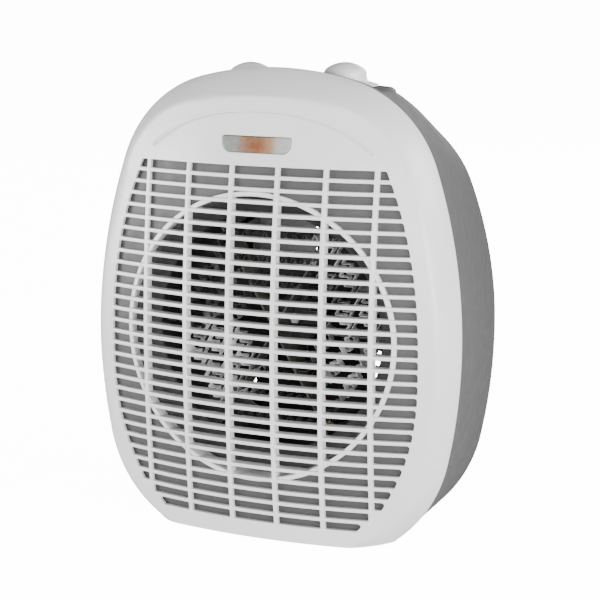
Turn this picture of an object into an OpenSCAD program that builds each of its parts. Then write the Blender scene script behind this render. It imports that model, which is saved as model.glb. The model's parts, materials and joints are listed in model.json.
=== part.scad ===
// Upright fan convector heater: a bowed front cover with an integral grille, a rounded rear casing with
// two control knobs on top, and inside them a baffle, a fan shroud, a ribbon heating element, a fan and
// its motor.
// Millimetres. +Z is up, the front faces -Y, and Z = 0 is the floor under the rubber feet.
// The origin is the middle of the footprint box on the floor.

/* [Overall] */
// Overall depth, front face to the cord gland's flange
depth = 124; // [118:1:134]
// Height of the front cover's rim above the floor
cover_top = 245.5; // [244:0.5:247]
// Depth of the front cover, from its foremost point to the seam
cover_depth = 34; // [32:1:36]
// Height of the rubber feet under the base
foot_h = 1.5; // [1:0.5:2]

/* [Outline] */
// Radius of the arc across the top of the outline
top_r = 166; // [150:1:180]
// Angle that the top arc turns, each side of the middle
top_turn = 14.7; // [13:0.1:16]
// Radius of the shoulder arc
shoulder_r = 65.6; // [62:0.1:68]
// Angle that the shoulder arc turns
shoulder_turn = 56.5; // [55:0.1:58]
// Radius of the long side arc
side_r = 288; // [280:1:300]
// Angle that the side arc turns
side_turn = 30.7; // [29:0.1:32]
// Radius of the arc that tucks the side in towards the floor
toe_r = 74.8; // [72:0.1:78]

/* [Front face] */
// Radius of the face seen from above
face_plan_r = 286; // [270:1:320]
// Radius of the face seen from the side
face_side_r = 680; // [600:10:800]
// Height of the foremost point of the face
face_z = 104.25; // [100:0.25:108]
// Wall of the front cover
cover_wall = 2.2; // [2:0.1:2.6]
// Depth of the grille's slats inside the outlet ring
slat_depth = 5.5; // [4.5:0.5:6.5]

/* [Grille] */
// Number of rows of slots
rows = 30; // [28:1:30]
// Height of the top row's middle
row_top_z = 195; // [194:0.5:196]
// Distance from one row to the next
row_pitch = 6.26; // [6.1:0.01:6.3]
// Height of a slot
slot_h = 4.1; // [3.6:0.1:4.4]
// Distance from one upright bar to the next
bar_pitch = 25.3; // [24:0.1:26]
// Width of an upright bar
bar_w = 2.9; // [2.4:0.1:3.4]
// Number of upright bars
bars = 6; // [6:1:6]

/* [Air path] */
// Height of the outlet ring, fan and motor axis
duct_z = 108.9; // [107:0.1:110]
// Inner radius of the outlet ring behind the slats
ring_in_r = 73.1; // [72:0.1:74]
// Outer radius of the outlet ring
ring_out_r = 75.5; // [75:0.1:76]
// Inner radius of the fan shroud
shroud_r = 63; // [61:0.5:64]
// Wall of the baffle and the shroud
duct_wall = 1.7; // [1.5:0.1:2]
// Radius of the fan's blade tips
fan_r = 58.5; // [55:0.5:60]
// Number of fan blades
blades = 7; // [5:1:9]

/* [Rear casing] */
// Wall of the rear casing
case_wall = 2.4; // [2.2:0.1:2.8]
// How far the casing sits inside the cover's outline at the seam
case_step = 0.8; // [0.6:0.1:1.2]
// Radius of the casing's upright rear corners
case_corner_r = 34.5; // [32:0.5:40]
// Height of the flat control panel
panel_z = 234.7; // [234:0.1:235.5]
// Half the width of the control panel
panel_half_w = 54; // [52:1:56]

/* [Controls] */
// Distance of each knob's axis from the middle
knob_x = 27; // [25:0.5:29]
// Position of the knobs' axes, front to back
knob_y = -1; // [-3:0.5:2]
// Radius of a knob's skirt
skirt_r = 17.3; // [16:0.1:18.5]
// Radius of a knob's grip
grip_r = 11.2; // [10:0.1:12]
// Height of the right knob's dome above the floor
knob_top = 247.4; // [246.5:0.1:248]
// How much lower the left knob sits
knob_drop = 1.2; // [0:0.1:1.5]
// Radius of a control shaft
control_shaft_r = 3; // [3:0.5:3]

/* [Motor] */
// Radius of the rotor
rotor_r = 12.4; // [12:0.1:13]
// Radius of the motor shaft
motor_shaft_r = 2.5; // [2.5:0.5:3]
// Half the distance between the motor's long screws
motor_screw_x = 20; // [19:0.5:21]

/* [Hidden] */
$fn = 48;

front_y = -depth / 2;
seam_y = front_y + cover_depth;
gland_flange = 1.5;
case_rear_y = depth / 2 - gland_flange;
slip = 0.3;              // clearance between mouldings that face each other
run_fit = 0.05;          // radial clearance of a shaft in its bush
toe_turn = 75;           // the toe arc runs on below the floor and is cut off there
far = 300;               // longer than the whole heater

// Colours
light_grey = [0.84, 0.84, 0.84];
case_grey = [0.43, 0.43, 0.43];
baffle_grey = [0.5, 0.5, 0.5];
near_black = [0.08, 0.08, 0.09];
steel = [0.7, 0.7, 0.72];

// ---- helpers -------------------------------------------------------------------------------------------

// Points of an arc that starts at p, heading h degrees below +X, and turns clockwise through a
function arc_points(p, h, r, a, n) =
    [for (i = [1:n]) p + r * [sin(h + a * i / n) - sin(h), cos(h + a * i / n) - cos(h)]];

// Last point of a list
function last(list) = list[len(list) - 1];

// Right half of the outline, from the middle of the top to below the floor, moved inwards by inset
function half_outline(inset) =
    let (start = [0, cover_top - inset],
         top = arc_points(start, 0, top_r - inset, top_turn, 3),
         shoulder = arc_points(last(top), top_turn, shoulder_r - inset, shoulder_turn, 9),
         side = arc_points(last(shoulder), top_turn + shoulder_turn, side_r - inset, side_turn, 7),
         toe = arc_points(last(side), top_turn + shoulder_turn + side_turn, toe_r - inset, toe_turn, 8))
    concat([start], top, shoulder, side, toe);

// The same points mirrored and taken backwards, which closes the outline
function mirrored(points) = [for (i = [len(points) - 1:-1:1]) [-points[i].x, points[i].y]];

// Half the width of the slot field at height z: widest at field_wide_z, and pulled in above and below it
field_wide = 86.4;
field_wide_z = 93.5;
field_top_pull = 17.9 / pow(102, 2.5);
field_low_pull = 12.7 / pow(60, 2.35);
function field_half(z) =
    let (above = z - field_wide_z)
    field_wide - (above > 0 ? field_top_pull * pow(above, 2.5) : field_low_pull * pow(-above, 2.35));

// Height of a row, and half the width that its slots reach; the two lowest rows are cut short
short_rows = [61.8, 57.5];
function row_z(row) = row_top_z - row * row_pitch;
function row_half(row) = row < 28 ? field_half(row_z(row)) : short_rows[row - 28];

// X of the middle of an upright bar
function bar_x(i) = (i - (bars - 1) / 2) * bar_pitch;

// Y of the front face at x, z, moved back by off
function face_y(x, z, off = 0) =
    front_y + off + x * x / (2 * face_plan_r) + pow(z - face_z, 2) / (2 * face_side_r);

// Extrudes a shape drawn in X and Z from y0 back to y1
module along_y(y0, y1) {
    translate([0, y1, 0]) rotate([90, 0, 0]) linear_extrude(y1 - y0) children();
}

// A rod along Y, from y0 to y1
module rod_y(x, z, r, y0, y1) {
    translate([x, y1, z]) rotate([90, 0, 0]) cylinder(r = r, h = y1 - y0);
}

// A rod along X, from x0 to x1
module rod_x(y, z, r, x0, x1) {
    translate([x0, y, z]) rotate([0, 90, 0]) cylinder(r = r, h = x1 - x0);
}

// A tube along Y about the duct's axis
module duct_tube(r_in, r_out, y0, y1, fn = 96) {
    translate([0, y1, duct_z]) rotate([90, 0, 0]) difference() {
        cylinder(r = r_out, h = y1 - y0, $fn = fn);
        translate([0, 0, -1]) cylinder(r = r_in, h = y1 - y0 + 2, $fn = fn);
    }
}

// The body's outline, cut off level with the base
module outline(inset, base = foot_h) {
    points = half_outline(inset);
    intersection() {
        polygon(concat(points, mirrored(points)));
        translate([-far / 2, base]) square([far, far]);
    }
}

// Everything behind the doubly curved front face
module behind_face(off) {
    rise = 20;
    profile = [for (k = [-6:8]) [face_plan_r - off - pow(k * rise, 2) / (2 * face_side_r), face_z + k * rise]];
    translate([0, front_y + face_plan_r, 0]) rotate_extrude($fn = 180)
        polygon(concat([[0, profile[0].y]], profile, [[0, last(profile).y]]));
}

// ---- front cover ---------------------------------------------------------------------------------------

// Where each inset outline of the rounded flank lies: [inset, distance in front of the seam]
flank = [[0, 0], [1.4, 7], [6, 15], [15, 22]];

// Positions of the four long casing screws: [x, z]
screw_places = [for (side = [-1, 1]) for (p = [[50, 219], [70, 15]]) [side * p.x, p.y]];

// The cover's outer form, or a smaller one inside it
module cover_form(inset) {
    open_back = inset > 0 ? 1 : 0;
    intersection() {
        union() {
            hull() for (f = flank) {
                y = seam_y - f[1] + inset;
                along_y(y, y + 0.01) outline(f[0] + inset, foot_h + inset);
            }
            along_y(front_y - 1, seam_y - last(flank)[1] + inset + 0.005)
                outline(last(flank)[0] + inset, foot_h + inset);
            if (open_back > 0) along_y(seam_y, seam_y + 5) outline(inset, foot_h + inset);
        }
        behind_face(inset);
        translate([-far / 2, -far, 0]) cube([far, far + seam_y + open_back, far]);
    }
}

module slots() {
    for (row = [0:rows - 1]) for (i = [0:bars]) {
        left = max(-row_half(row), i == 0 ? -far : bar_x(i - 1) + bar_w / 2);
        right = min(row_half(row), i == bars ? far : bar_x(i) - bar_w / 2);
        if (right - left > 2) translate([left, row_z(row) - slot_h / 2]) square([right - left, slot_h]);
    }
}

// The lamp window: wide at the top, with its lower corners cut back; grow makes it larger all round
window_z = 207.6;
module window(grow) {
    half = [18.4, 17.2, 14.6, 11];
    height = [4.1, -1, -3.3, -4.1];
    right = [for (i = [0:3]) [half[i] + grow, window_z + height[i] + (i == 0 ? grow : -grow)]];
    polygon(concat(right, [for (i = [3:-1:0]) [-right[i].x, right[i].y]]));
}

module front_cover() color(light_grey) {
    difference() {
        union() {
            difference() {
                cover_form(0);
                cover_form(cover_wall);
            }
            intersection() {
                difference() {
                    behind_face(0.4);
                    behind_face(slat_depth);
                }
                rod_y(0, duct_z, ring_in_r + 0.4, front_y - 1, seam_y, $fn = 96);
            }
        }
        along_y(front_y - 2, seam_y - 12) slots();
        along_y(front_y - 2, seam_y - 12) window(0);
    }
    intersection() {
        duct_tube(ring_in_r, ring_out_r, front_y, front_y + 16);
        behind_face(1.3);
    }
    difference() {
        intersection() {
            union() for (p = screw_places) rod_y(p.x, p.y, 4.5, front_y, seam_y + 1.5);
            cover_form_with_back();
        }
        for (p = screw_places) rod_y(p.x, p.y, 1.7, seam_y - 12, seam_y + 2);
    }
}

// The cover's form with room behind the seam for the screw bosses
module cover_form_with_back() {
    cover_form(1);
    along_y(seam_y - 3, seam_y + 3) outline(3);
}

module indicator_lens() color([0.8, 0.8, 0.78]) {
    intersection() {
        union() {
            along_y(front_y, front_y + 30) window(-0.15);
            intersection() {
                along_y(front_y, front_y + 30) window(1.8);
                behind_face(cover_wall + 0.1);
            }
        }
        difference() {
            behind_face(0.5);
            behind_face(cover_wall + 1.6);
        }
    }
}

// The lamp's housing starts just behind the lens, and is open towards it
holder_y = face_y(13, window_z + 6, cover_wall + 1.8);
module lamp_holder() color(near_black) {
    difference() {
        translate([-13, holder_y, window_z - 6]) cube([26, 13, 12]);
        translate([-11.6, holder_y - 1, window_z - 4.6]) cube([23.2, 8, 9.2]);
        rod_x(holder_y + 7.6, window_z, 2.9, -8.2, 8.2);
    }
}

module neon_lamp() color([0.95, 0.5, 0.2]) {
    rod_x(holder_y + 7.6, window_z, 2.8, -8, 8);
}

// ---- air path ------------------------------------------------------------------------------------------

baffle_off = cover_wall + slip;      // the baffle's front lies this far behind the face
throat_y = front_y + 26.4;           // where the funnel meets the shroud
screw_ring_r = 68;                   // radius of the four duct screws
duct_screw_angles = [45, 135, 225, 315];

// Turns children round the duct's axis, to each angle of a list
module around_duct(angles) {
    for (a = angles) translate([0, 0, duct_z]) rotate([0, a, 0]) children();
}

module front_baffle() color(baffle_grey) {
    difference() {
        union() {
            // Curved plate behind the outer slots
            intersection() {
                difference() {
                    cover_form(baffle_off);
                    behind_face(baffle_off + duct_wall);
                }
                along_y(front_y, seam_y) baffle_field();
            }
            // Channel round the outlet ring, and the funnel down to the shroud
            intersection() {
                behind_face(baffle_off);
                translate([0, 0, duct_z]) rotate([-90, 0, 0]) rotate_extrude($fn = 96) polygon([
                    [ring_out_r + slip, front_y + 3], [ring_out_r + slip + duct_wall, front_y + 3],
                    [ring_out_r + slip + duct_wall, front_y + 18.2], [ring_in_r + 0.2, front_y + 18.2],
                    [shroud_r + 9, throat_y - duct_wall], [shroud_r + 9, throat_y],
                    [shroud_r, throat_y], [shroud_r, throat_y - duct_wall],
                    [ring_in_r - 1.8, front_y + 16.4], [ring_out_r + slip, front_y + 16.4]]);
            }
        }
        intersection() {
            rod_y(0, duct_z, ring_out_r + slip, front_y - 1, front_y + 16.4, $fn = 96);
            translate([-far / 2, -far, 0]) cube([far, far + front_y + 16.4, far]);
        }
        around_duct(duct_screw_angles) rod_y(screw_ring_r, 0, 1.45, throat_y - 5, throat_y + 1);
    }
}

// The area that the baffle closes: the slot field and a margin, clear of the lower screw bosses
module baffle_field() {
    margin = 1.6;
    levels = [200, 185, 165, 145, 120, 93.5, 70, 50, 35, 24];
    right = concat([for (z = levels) [field_half(z) + margin, z]], [[63.5, 18], [59, 9]]);
    polygon(concat(right, [for (i = [len(right) - 1:-1:0]) [-right[i].x, right[i].y]]));
}

shroud_back_y = 16;
lug_x = 70;
module fan_shroud() color(near_black) {
    difference() {
        union() {
            duct_tube(shroud_r, shroud_r + duct_wall, throat_y, shroud_back_y);
            duct_tube(shroud_r + 0.5, shroud_r + 9, throat_y, throat_y + 3);
            for (side = [-1, 1])
                translate([side * lug_x - 6.5, shroud_back_y - 10, duct_z - 8]) cube([13, 10, 16]);
        }
        rod_y(0, duct_z, shroud_r, throat_y - 1, shroud_back_y + 1, $fn = 96);
        around_duct(duct_screw_angles) rod_y(screw_ring_r, 0, 1.45, throat_y - 1, throat_y + 4);
        for (side = [-1, 1]) rod_y(side * lug_x, duct_z, 1.6, shroud_back_y - 8, shroud_back_y + 1);
    }
}

// A pan-head screw along Y: the head's back is at y, and the point lies forward of it
module screw(x, z, y, length, shank_r, head_r, head_h) {
    rod_y(x, z, shank_r, y - head_h - length, y - head_h + 0.01, $fn = 24);
    difference() {
        rod_y(x, z, head_r, y - head_h, y, $fn = 32);
        translate([x - head_r * 0.6, y - 0.9, z - 0.35]) cube([head_r * 1.2, 1, 0.7]);
        translate([x - 0.35, y - 0.9, z - head_r * 0.6]) cube([0.7, 1, head_r * 1.2]);
    }
}

module duct_screws() color(steel) {
    around_duct(duct_screw_angles) screw(screw_ring_r, 0, throat_y + 5.1, 4.6, 1.4, 2.7, 2);
}

// ---- heating element -----------------------------------------------------------------------------------

element_y = throat_y + 5;            // front edge of the mica boards
board_depth = 17;
board_t = 0.8;
ribbon_depth = 5.5;
ribbon_t = 0.4;
ribbon_loops = [25, 37, 49];         // distance of each loop's flats from the axis
ribbon_rows = [element_y + 0.6, element_y + board_depth - ribbon_depth - 0.6];
notch = 2.4;
core_r = 3;                          // radius of the rod that the six boards stand round
board_length = shroud_r - slip - core_r;

module mica_frame() color([0.86, 0.82, 0.72]) {
    rod_y(0, duct_z, core_r, element_y, element_y + board_depth);
    around_duct([0, 60, 120, 180, 240, 300]) difference() {
        translate([core_r, element_y, -board_t / 2]) cube([board_length, board_depth, board_t]);
        for (r = ribbon_loops) corner_notches(r / cos(30));
    }
}

// The pair of notches, front and back, in which a loop's corner lies on a board
module corner_notches(r) {
    translate([r - notch / 2, element_y - 1, -board_t]) cube([notch, ribbon_depth + 2, 2 * board_t]);
    translate([r - notch / 2, ribbon_rows[1] - 0.5, -board_t]) cube([notch, ribbon_depth + 3, 2 * board_t]);
}

// One hexagonal loop of resistance ribbon
module ribbon_loop(r, y) {
    difference() {
        hexagon_ring(r + ribbon_t / 2, y, ribbon_depth);
        hexagon_ring(r - ribbon_t / 2, y - 1, ribbon_depth + 2);
    }
}

module hexagon_ring(flat_r, y, depth_y) {
    corner = flat_r / cos(30);
    along_y(y, y + depth_y) translate([0, duct_z])
        polygon([for (i = [0:5]) corner * [cos(60 * i), sin(60 * i)]]);
}

module heating_ribbon() color([0.75, 0.75, 0.74]) {
    for (r = ribbon_loops) for (y = ribbon_rows) ribbon_loop(r, y);
}

module element_rivets() color([0.8, 0.72, 0.45]) {
    around_duct([0, 60, 120, 180, 240, 300])
        translate([57, element_y + board_depth / 2, board_t / 2]) cylinder(r = 1.8, h = 1.2, $fn = 24);
}

// The cutout's round case on the plate that carries it behind the element
cutout_y = element_y + board_depth + 1;
module thermal_cutout() color([0.35, 0.35, 0.36]) {
    rod_y(0, duct_z + 49, 7.5, cutout_y + 1, cutout_y + 6);
    translate([-16, cutout_y, duct_z + 29.5]) cube([32, 1.05, 30.5]);
}

module thermal_fuse() color([0.9, 0.88, 0.82]) {
    y = cutout_y + 3.2;
    rod_x(y, duct_z + 44, 2.1, -30, -18);
    rod_x(y, duct_z + 44, 0.5, -36, -30);
    rod_x(y, duct_z + 44, 0.5, -18, -9);
}

// ---- fan and motor -------------------------------------------------------------------------------------

bracket_y = shroud_back_y;           // the strap lies on the shroud's lugs
bracket_t = 2;
bridge_y = [bracket_y + 6, bracket_y + 26.5];
bridge_t = 1.5;
stator_y = [bracket_y + 10, bracket_y + 24];

module motor_bracket() color(steel) {
    difference() {
        union() {
            translate([-lug_x - 6.5, bracket_y, duct_z - 7]) cube([2 * lug_x + 13, bracket_t, 14]);
            for (side = [-1, 1])
                rod_y(side * motor_screw_x, duct_z, 3.4, bracket_y + bracket_t - 0.5, bridge_y[0]);
        }
        rod_y(0, duct_z, 6.6, bracket_y - 1, bridge_y[0] + 1);
        for (side = [-1, 1]) {
            rod_y(side * lug_x, duct_z, 1.8, bracket_y - 1, bracket_y + 3);
            rod_y(side * motor_screw_x, duct_z, 1.6, bracket_y - 1, bridge_y[0] + 1);
        }
    }
}

module bracket_screws() color(steel) {
    for (side = [-1, 1]) screw(side * lug_x, duct_z, bracket_y + bracket_t + 2.3, 8.5, 1.5, 3.2, 2.2);
}

// One bearing bridge: a strap with a bush for the shaft and two sleeves towards the stator
module bridge(y, sleeve_y0, sleeve_y1, bush_y0, bush_y1) {
    difference() {
        union() {
            translate([-motor_screw_x - 5, y, duct_z - 6]) cube([2 * motor_screw_x + 10, bridge_t, 12]);
            for (side = [-1, 1]) rod_y(side * motor_screw_x, duct_z, 3, sleeve_y0, sleeve_y1);
            rod_y(0, duct_z, 5, bush_y0, bush_y1);
        }
        rod_y(0, duct_z, motor_shaft_r + run_fit, bush_y0 - 1, bush_y1 + 1);
        for (side = [-1, 1]) rod_y(side * motor_screw_x, duct_z, 1.6, y - 5, y + 6);
    }
}

module motor_bridges() color([0.62, 0.62, 0.6]) {
    bridge(bridge_y[0], bridge_y[0] + 1, stator_y[0], bridge_y[0] - 3, bridge_y[0] + 2.5);
    bridge(bridge_y[1], stator_y[1], bridge_y[1] + 0.5, bridge_y[1] - 1, bridge_y[1] + 4.5);
}

coil_z = duct_z - 39;                // middle of the coil's limb
module motor_stator() color([0.45, 0.46, 0.48]) {
    difference() {
        translate([-27, stator_y[0], duct_z - 44]) cube([54, stator_y[1] - stator_y[0], 66]);
        rod_y(0, duct_z, rotor_r + 0.4, stator_y[0] - 1, stator_y[1] + 1);
        translate([-16, stator_y[0] - 1, coil_z + 5]) cube([32, stator_y[1] - stator_y[0] + 2, 14]);
        for (side = [-1, 1]) rod_y(side * motor_screw_x, duct_z, 1.6, stator_y[0] - 1, stator_y[1] + 1);
    }
}

module motor_coil() color([0.72, 0.42, 0.2]) {
    difference() {
        translate([-15.5, stator_y[0] - 6, coil_z - 11]) cube([31, stator_y[1] - stator_y[0] + 12, 27]);
        translate([-17, stator_y[0] - 0.2, coil_z - 5.2])
            cube([34, stator_y[1] - stator_y[0] + 0.4, 10.4]);
    }
}

module motor_screws() color(steel) {
    for (side = [-1, 1]) screw(side * motor_screw_x, duct_z, bridge_y[1] + bridge_t + 2.2, 28.5, 1.5, 3, 2);
}

module rotor_shaft() color([0.66, 0.66, 0.68]) {
    rod_y(0, duct_z, rotor_r, stator_y[0] - 1, stator_y[1] + 1);
    rod_y(0, duct_z, motor_shaft_r, -3, bridge_y[1] + 8);
}

fan_y = [-1, 13];
hub_r = 15;
module fan_impeller() color(near_black) {
    difference() {
        union() {
            duct_tube(hub_r - 1.6, hub_r, fan_y[0], fan_y[1]);
            rod_y(0, duct_z, hub_r - 0.5, fan_y[0], fan_y[0] + 2);
            rod_y(0, duct_z, 5, fan_y[0], fan_y[1] - 2);
            intersection() {
                around_duct([for (i = [0:blades - 1]) i * 360 / blades])
                    translate([hub_r - 1, (fan_y[0] + fan_y[1]) / 2, 0]) rotate([24, 0, 0])
                        translate([0, -0.8, -19]) cube([fan_r, 1.6, 38]);
                duct_tube(hub_r - 1, fan_r, fan_y[0], fan_y[1]);
            }
        }
        rod_y(0, duct_z, motor_shaft_r + 0.02, fan_y[0] - 1, fan_y[1] + 1);
    }
}

// ---- rear casing ---------------------------------------------------------------------------------------

collar_depth = 6;                    // full-height collar of the casing behind the seam
intake_r = 60;
base_rear_y = 40;                    // the flat base ends here
gland_x = -52;
gland_z = 58;
gland_hole_r = 6;

// Depths of the slices that the casing's form is stretched over: straight first, then closing to the back
case_slices = [seam_y + 0.05, -5, 12, 27.5, 34, 41, 48, 54, 58.5, case_rear_y];
slope_start_y = -5;                  // the shoulders fall away behind this depth
shoulder_fall = 0.0038;              // by this share of their height per millimetre
waist_z = 115;                       // and down to this height
heel_r = 46.5;                       // radius of the tucked-in heel under the back
heel_z = 50;

// How far round the rear corner a depth lies: 0 where it starts, 1 at the back
function corner_turn(y) = max(0, (y - case_rear_y + case_corner_r) / case_corner_r);
function corner_flat(y) = sqrt(1 - pow(min(1, corner_turn(y)), 2));

// Lowest height of the casing at a depth
function heel_height(y, t) =
    y <= base_rear_y ? foot_h + t
                     : heel_z - sqrt(max(0, pow(heel_r, 2) - pow(y - case_rear_y + heel_r, 2))) + t;

// Lowers the points above the waist as the shoulders fall away
function sloped(points, y) =
    let (k = 1 - shoulder_fall * max(0, y - slope_start_y))
    [for (p = points) [p.x, p.y > waist_z ? waist_z + (p.y - waist_z) * k : p.y]];

// One slice of the casing at depth y, t inside its surface
module case_slice(y, t) {
    inset = case_step + case_corner_r * (1 - corner_flat(y)) + t * corner_flat(y);
    points = sloped(half_outline(inset), y);
    place = y - t * min(1, corner_turn(y));
    along_y(place - 0.01, place) intersection() {
        polygon(concat(points, mirrored(points)));
        translate([-far / 2, heel_height(y, t)]) square([far, far]);
    }
}

// The casing's outer form (t = 0), or the hollow inside it
module case_form(t) {
    difference() {
        union() {
            hull() for (y = case_slices) case_slice(y, t);
            if (t > 0) along_y(seam_y - 1, seam_y + 1) outline(case_step + t, foot_h + t);
        }
        translate([-far / 2, seam_y + collar_depth - t, panel_z - t]) cube([far, far, far]);
    }
}

// Flat control panel with round ends, which stands proud of the shoulders
panel_depth = 44;
panel_h = 14;
module panel_block(t) {
    mid_y = seam_y + collar_depth - 1 + panel_depth / 2;
    end_r = panel_depth / 2 - t;
    right = [for (a = [-90:15:90]) [panel_half_w - panel_depth / 2 + end_r * cos(a), mid_y + end_r * sin(a)]];
    translate([0, 0, panel_z - panel_h]) linear_extrude(panel_h - t)
        polygon(concat(right, mirrored(concat([[0, 0]], right))));
}

module intake_slots() {
    pitch = 7;
    for (k = [-8:8]) {
        z = k * pitch;
        half = sqrt(intake_r * intake_r - z * z);
        for (side = [-1, 1]) translate([side < 0 ? -half : 1.6, duct_z + z - 1.6]) square([half - 1.6, 3.2]);
    }
}

module rear_casing() color(case_grey) {
    difference() {
        union() {
            difference() {
                union() {
                    case_form(0);
                    panel_block(0);
                }
                case_form(case_wall);
                panel_block(case_wall);
            }
            intersection() {
                for (p = screw_places) rod_y(p.x, p.y, 6, seam_y + 2, case_rear_y);
                case_form(1);
            }
        }
        for (p = screw_places) {
            rod_y(p.x, p.y, 3.9, seam_y + 8, case_rear_y + 10);
            rod_y(p.x, p.y, 1.9, seam_y + 1, seam_y + 9);
        }
        along_y(case_rear_y - 4, case_rear_y + 1) intake_slots();
        rod_y(gland_x, gland_z, gland_hole_r, case_rear_y - 6, case_rear_y + 1);
        for (side = [-1, 1]) translate([side * knob_x, knob_y, panel_z - 5]) cylinder(r = 4.8, h = 6);
        for (p = foot_places) translate([p.x, p.y, 0]) cylinder(r = 2.6, h = 6);
    }
}

foot_places = [for (x = [-52, 52]) for (y = [-18, 30]) [x, y]];
module rubber_feet() color(near_black) {
    for (p = foot_places) translate([p.x, p.y, 0]) {
        cylinder(r = 6.5, h = foot_h);
        cylinder(r = 2.5, h = foot_h + case_wall + 0.6);
    }
}

module cord_gland() color(near_black) {
    inner = case_rear_y - case_wall;
    difference() {
        union() {
            rod_y(gland_x, gland_z, 8.5, case_rear_y, depth / 2);
            rod_y(gland_x, gland_z, gland_hole_r - 0.05, inner - 5, case_rear_y + 0.5);
            rod_y(gland_x, gland_z, 7.4, inner - 3, inner - 0.1);
        }
        rod_y(gland_x, gland_z, 3.75, inner - 6, depth / 2 + 1);
    }
}

module casing_screws() color(steel) {
    for (p = screw_places) screw(p.x, p.y, seam_y + 8 + 2.4, 17, 1.6, 3.4, 2.3);
}

// ---- controls ------------------------------------------------------------------------------------------

bush_top = panel_z + 3.4;
shaft_top = 242.6;

// A control's case with its threaded bush, bored for the shaft
module control_body(x, width, length, height) {
    top = panel_z - 6.5;
    difference() {
        union() {
            translate([x - width / 2, knob_y - length / 2, top - height]) cube([width, length, height]);
            translate([x, knob_y, top - 1]) cylinder(r = 6.4, h = panel_z - case_wall - top + 0.9);
            translate([x, knob_y, top]) cylinder(r = 4.5, h = bush_top - top);
        }
        translate([x, knob_y, top - 12]) cylinder(r = control_shaft_r + run_fit, h = 40);
    }
}

// A shaft that ends just below the knob's crown
module control_shaft(x, drop) {
    base = panel_z - 6.5 - 11.7;
    translate([x, knob_y, base]) cylinder(r = control_shaft_r, h = shaft_top - drop - base);
}

// A domed knob with a thin skirt; it hides the nut under it
module knob(x, drop) {
    base = panel_z + 0.45;
    dome_r = 16.5;
    top = knob_top - drop;
    dome_edge = top - dome_r + sqrt(dome_r * dome_r - grip_r * grip_r);
    translate([x, knob_y, 0]) difference() {
        rotate_extrude($fn = 72) polygon(concat(
            [[0, base], [skirt_r, base], [skirt_r, base + 1.1]],
            [[grip_r + 0.5, base + 2.6], [grip_r, dome_edge]],
            [for (a = [asin(grip_r / dome_r) * 0.75:-8:4]) [dome_r * sin(a), top - dome_r + dome_r * cos(a)]],
            [[0, top]]));
        translate([0, 0, base - 1]) cylinder(r = 8, h = 5.2);
        translate([0, 0, base]) cylinder(r = control_shaft_r + 0.02, h = shaft_top + 0.1 - drop - base);
    }
}

module thermostat_body() color([0.3, 0.3, 0.32]) control_body(knob_x, 28, 24, 20);
module mode_switch_body() color([0.12, 0.12, 0.13]) control_body(-knob_x, 24, 24, 26);
module thermostat_shaft() color(steel) control_shaft(knob_x, 0);
module mode_switch_shaft() color(steel) control_shaft(-knob_x, knob_drop);
module thermostat_knob() color(light_grey) knob(knob_x, 0);
module mode_knob() color(light_grey) knob(-knob_x, knob_drop);

module control_nuts() color(steel) {
    for (side = [-1, 1]) translate([side * knob_x, knob_y, panel_z]) difference() {
        cylinder(r = 7, h = 2.2, $fn = 6);
        translate([0, 0, -1]) cylinder(r = 4.55, h = 5);
    }
}

// ---- mains connection ----------------------------------------------------------------------------------

block_x = -61;
block_y = 4;
block_depth = 14;
pole_pitch = 8;
pole_places = [for (i = [0:2]) block_x + pole_pitch * (i + 0.5)];
module terminal_block() color([0.9, 0.9, 0.86]) {
    base = foot_h + case_wall;
    difference() {
        translate([block_x, block_y, base]) cube([3 * pole_pitch, block_depth, 12]);
        for (x = pole_places) {
            translate([x, block_y + block_depth / 2, base + 5]) cylinder(r = 1.9, h = 8);
            rod_y(x, base + 4, 1.6, block_y - 1, block_y + block_depth + 1);
        }
    }
}

module terminal_screws() color([0.8, 0.72, 0.45]) {
    base = foot_h + case_wall;
    for (x = pole_places) translate([x, block_y + block_depth / 2, base + 6]) cylinder(r = 1.8, h = 5);
}

front_cover();
front_baffle();
indicator_lens();
lamp_holder();
neon_lamp();
rear_casing();
rubber_feet();
cord_gland();
casing_screws();
fan_shroud();
duct_screws();
mica_frame();
heating_ribbon();
element_rivets();
thermal_cutout();
thermal_fuse();
motor_bracket();
bracket_screws();
motor_bridges();
motor_stator();
motor_coil();
motor_screws();
rotor_shaft();
fan_impeller();
thermostat_body();
thermostat_shaft();
thermostat_knob();
mode_switch_body();
mode_switch_shaft();
mode_knob();
control_nuts();
terminal_block();
terminal_screws();
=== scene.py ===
"""Upright fan convector heater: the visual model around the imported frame.

Shapes are worked out in millimetres, in the frame's own axes (+Z up, front towards -Y), and built in
metres.
"""

import json
import math

import bmesh
import bpy
from mathutils import Euler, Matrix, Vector
from mathutils.geometry import delaunay_2d_cdt


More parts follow.
